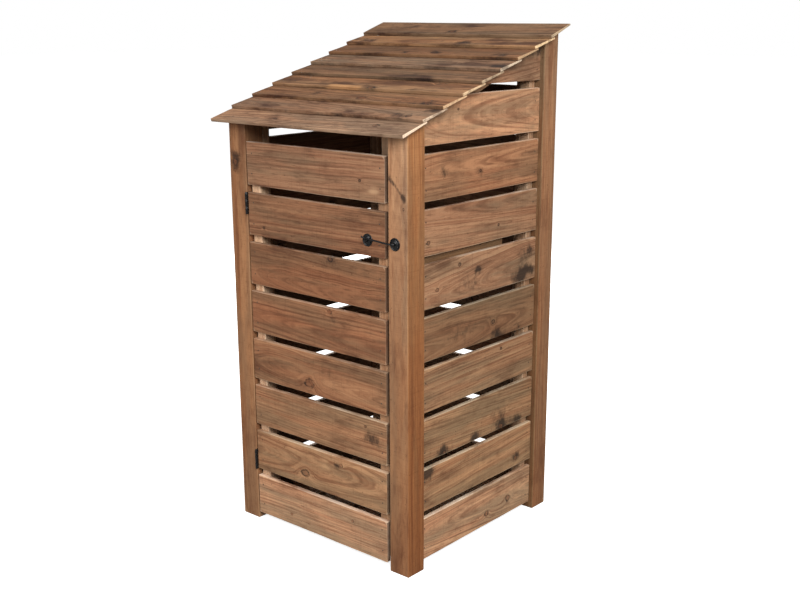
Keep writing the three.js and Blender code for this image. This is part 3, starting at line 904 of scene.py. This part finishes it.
def nail_row(solid, board, along_places, across_shares):
    chance = random.Random(board.name + "nails")
    for along in along_places:
        for share in across_shares:
            across = share * board.size[1] + chance.uniform(-5, 5) * MM
            place = board.on_face(along + chance.uniform(-3, 3) * MM, across)
            solid.turned(place, board.axes[2], NAIL_HEAD, 12)


def drive_nails():
    """Nails each board at both ends, these millimetres in, but the two side slats that the roof clips only
    at the back. The last board of a group has its own shares across."""
    for group, prefix, front, back, shares, last_shares in (
            ("door", "door_slat", 23, 21, (0.27, 0.75), (0.27, 0.75)),
            ("side_left", "side_slat_left", 21, 21, (0.25, 0.72), (0.3,)),
            ("side_right", "side_slat_right", 21, 21, (0.25, 0.72), (0.3,)),
            ("back", "back_slat", 21, 21, (0.25, 0.75), (0.25, 0.75)),
            ("roof", "roof_board", 75, 75, (0.3,), (0.3, 0.72))):
        solid = Solid(f"nails_{group}")
        row = [board for board in boards if board.name.startswith(prefix)]
        for board in row:
            clipped = "side" in group and board in row[-2:]
            back_place = board.size[0] - back * MM
            places = (back_place,) if clipped else (front * MM, back_place)
            nail_row(solid, board, places, last_shares if board is row[-1] else shares)
        solid.make(NAIL, "door" if group == "door" else "frame")


def knuckle_profile(radius, height, soft):
    return [(radius - soft, 0), (radius - 0.3 * soft, 0.3 * soft), (radius, soft), (radius, height - soft),
            (radius - 0.3 * soft, height - 0.3 * soft), (radius - soft, height)]


def hang_hinge(level):
    """A butt hinge of two leaves: the post's has the outer knuckles and the pin, the door's the middle."""
    leaf_thickness, gap, soft, barrel_clearance = 1.6 * MM, 0.4 * MM, 0.7 * MM, 4.6 * MM
    low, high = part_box(f"hinge_{level}_post_leaf")
    radius = (high.x - low.x) / 2
    axis_x, axis_y = (low.x + high.x) / 2, low.y + radius
    third = (high.z - low.z) / 3
    door_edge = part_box("door_slat_02")[0].x
    post_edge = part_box("post_front_left")[1].x
    outer_knuckles = [(low.z, low.z + third - gap / 2), (high.z - third + gap / 2, high.z)]
    middle_knuckle = [(low.z + third + gap / 2, high.z - third - gap / 2)]
    for leaf, plate_x, knuckles, body, facing in (
            ("post", post_edge, outer_knuckles, "frame", 1),
            ("door", door_edge - leaf_thickness, middle_knuckle, "door", -1)):
        solid = Solid(f"hinge_{level}_{leaf}_leaf_iron")
        plate_end = plate_x + leaf_thickness
        solid.plate((plate_x, axis_y + barrel_clearance, low.z), (plate_end, high.y, high.z), 0.4 * MM)
        for foot, head in knuckles:
            solid.turned((axis_x, axis_y, foot), Z, knuckle_profile(radius, head - foot, soft), 32)
            solid.plate((plate_x, axis_y, foot + soft), (plate_end, high.y - 10 * MM, head - soft), 0.3 * MM)
        face_x = plate_end if facing > 0 else plate_x
        for share in (0.14, 0.5, 0.86):
            place = (face_x, high.y - 7.5 * MM, low.z + share * (high.z - low.z))
            solid.screw(place, X * facing, 2.2 * MM, 4.0 * share)
        if leaf == "post":
            for foot, way in ((low.z, -1), (high.z, 1)):
                solid.turned((axis_x, axis_y, foot - way * 1 * MM), Z * way,
                             in_mm((2.4, 0), (2.4, 1.2), (1.6, 1.8), (0.4, 2.0)), 20)
        solid.make(IRON, body, [f"hinge_{level}_{leaf}_leaf"])


ROSETTE = in_mm((19.2, 0), (19.4, 0.6), (19.2, 1.5), (18.5, 2.2), (17.4, 2.3), (16.5, 1.8), (15.8, 1.2),
                (14.6, 1), (12.4, 1.3), (10.4, 2.2), (8.6, 3.5), (7.4, 4.2), (6, 4.6), (3, 4.8), (0.4, 4.8))
PIN_HEAD = in_mm((4.6, 0), (5.0, 0.4), (4.7, 1.2), (3.4, 1.8), (0.4, 2.0))


def rosette(solid, foot):
    """A round domed plate with three screws in the dish round its crown."""
    solid.turned(foot, -Y, ROSETTE, 64)
    for degrees in (90, 210, 330):
        turn = math.radians(degrees)
        away = Vector((math.cos(turn), 0, math.sin(turn))) * 12.2 * MM
        solid.screw(Vector(foot) + away - Y * 1.1 * MM, -Y, 2.7 * MM, 1.7 * turn)


def plate_centre(node):
    """The middle of a round plate's back, on the timber."""
    low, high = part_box(node)
    return Vector(((low.x + high.x) / 2, high.y, (low.z + high.z) / 2))


def oval_section(centre, half_width, half_height):
    """The section of a ring, to turn round its axis."""
    return [(centre + half_width * math.cos(t), half_height * math.sin(t)) for t in full_turn(16)]


def hang_hook():
    stand_off, rod, rise, tip_drop = 11.5 * MM, 2.8 * MM, 6 * MM, 9 * MM
    sunk = 2 * MM  # a shank starts this deep, under its plate
    pivot = plate_centre("hook_post_plate")
    head = stand_off + rod + 0.3 * MM
    plate = Solid("hook_post_plate_iron")
    rosette(plate, pivot)
    plate.turned(pivot - Y * sunk, -Y, [(2.4 * MM, 0), (2.4 * MM, stand_off + rod)], 24)
    plate.turned(pivot - Y * head, -Y, PIN_HEAD, 32)
    plate.make(IRON, "frame", ["hook_post_plate"])

    eye_foot = plate_centre("hook_eye_plate")
    eye_radius, wire = 6.4 * MM, 1.9 * MM
    eye = Solid("hook_eye_plate_iron")
    rosette(eye, eye_foot)
    shank = [(2.6 * MM, 0), (wire, 2.2 * MM), (wire, stand_off - eye_radius - sunk)]
    eye.turned(eye_foot - Y * sunk, -Y, shank, 24)
    eye.turned(eye_foot - Y * stand_off, Z, oval_section(eye_radius, wire, wire), 48, ring=True)
    eye.make(IRON, "door", ["hook_eye_plate"])

    reach = pivot.x - eye_foot.x
    centre = pivot - Y * stand_off
    elbow = 0.9 * rise
    bar = Solid("hook_bar_iron")
    bar.turned(centre, -Y, oval_section(4.4 * MM, 1.6 * MM, 2.6 * MM), 40, ring=True)
    arm = ((-4.6 * MM, 0, 0), (-reach / 2, 0, rise / 2), (-reach + 2 * elbow, 0, rise),
           (-reach + elbow, 0, rise), (-reach + elbow / 6, 0, rise - elbow / 3), (-reach, 0, rise - elbow),
           (-reach, 0, -tip_drop))
    finger_rest = ((-reach + 1.5 * elbow, 0, rise), (-reach - elbow / 3, 0, rise + 1 * MM),
                   (-reach - 1.6 * elbow, -rod / 3, 1.4 * rise), (-reach - 2.6 * elbow, -rod, 2 * rise))
    bar.bent_rod([centre + Vector(p) for p in arm], rod)
    bar.bent_rod([centre + Vector(p) for p in finger_rest], 0.85 * rod)
    bar.make(IRON, "hook", ["hook"])


drive_nails()
hang_hinge("upper")
hang_hinge("lower")
hang_hook()


# -------- stage, light and camera
def floor_material():
    """Pale studio floor. It bounces less light than it shows, so that the store's inside stays dim."""
    s = Shader("studio_floor")
    place = s.node("TexCoord").outputs["Object"]
    seen = s.node("LightPath").outputs["Is Camera Ray"]
    mottle = s.noise(place, (3.0, 3.0, 3.0), 3.0)
    shown = s.mix(mottle, (0.90, 0.90, 0.90, 1), (0.93, 0.93, 0.92, 1))
    colour = s.mix(seen, (0.30, 0.29, 0.28, 1), shown)
    return s.finish(colour, 0.85, mottle, 0.1 * MM, **{
        "Specular IOR Level": 0.1, "Emission Color": (1, 1, 1, 1), "Emission Strength": s.times(seen, 0.80)})


def add_stage():
    reach = 40.0
    mesh = bpy.data.meshes.new("studio_floor")
    corners = [(-reach, -reach, 0), (reach, -reach, 0), (reach, reach, 0), (-reach, reach, 0)]
    mesh.from_pydata(corners, [], [(0, 1, 2, 3)])
    mesh.materials.append(floor_material())
    add_object("studio_floor", mesh)


def area_light(name, place, size, power):
    """A round lamp that looks at the middle of the store."""
    light = bpy.data.lights.new(name, "AREA")
    light.shape, light.size, light.energy = "DISK", size, power
    lamp = add_object(name, light)
    lamp.location = place
    lamp.rotation_mode = "QUATERNION"
    middle = Vector((0.0, 0.0, 0.8))
    lamp.rotation_quaternion = (middle - Vector(place)).to_track_quat("-Z", "Y")


def add_world(camera_white, ambient):
    """White to the camera, and a weaker light on everything else."""
    s = Shader("studio", bpy.data.worlds)
    seen = s.node("LightPath").outputs["Is Camera Ray"]
    strength = s.node("MapRange", {
        "Value": seen, "To Min": ambient, "To Max": camera_white}).outputs["Result"]
    background = s.node("Background", {"Color": (1, 1, 1, 1), "Strength": strength})
    s.node("OutputWorld", {"Surface": background.outputs[0]})
    bpy.context.scene.world = s.owner


def add_camera():
    """The photo's camera, as solved from the store's corners."""
    tilt_down, turn = 0.262, 0.701
    data = bpy.data.cameras.new("camera")
    data.sensor_width, data.lens = 36.0, 51.07
    data.shift_x, data.shift_y = -0.02026, 0.02065
    camera = add_object("camera", data)
    camera.location = (2.44706, -2.77649, 1.69198)
    camera.rotation_euler = (math.pi / 2 - tilt_down, 0.0, turn)
    bpy.context.scene.camera = camera


add_stage()
add_world(camera_white=1.0, ambient=0.27)
area_light("key", (3.6, -2.6, 3.2), 2.2, 190)
area_light("front", (-0.6, -4.2, 2.6), 2.6, 70)
area_light("top", (0.6, 0.2, 4.6), 3.0, 60)
area_light("back", (-3.2, 3.4, 1.3), 2.4, 100)  # too low to graze the roof
add_camera()
bpy.context.scene.view_settings.view_transform = "Standard"
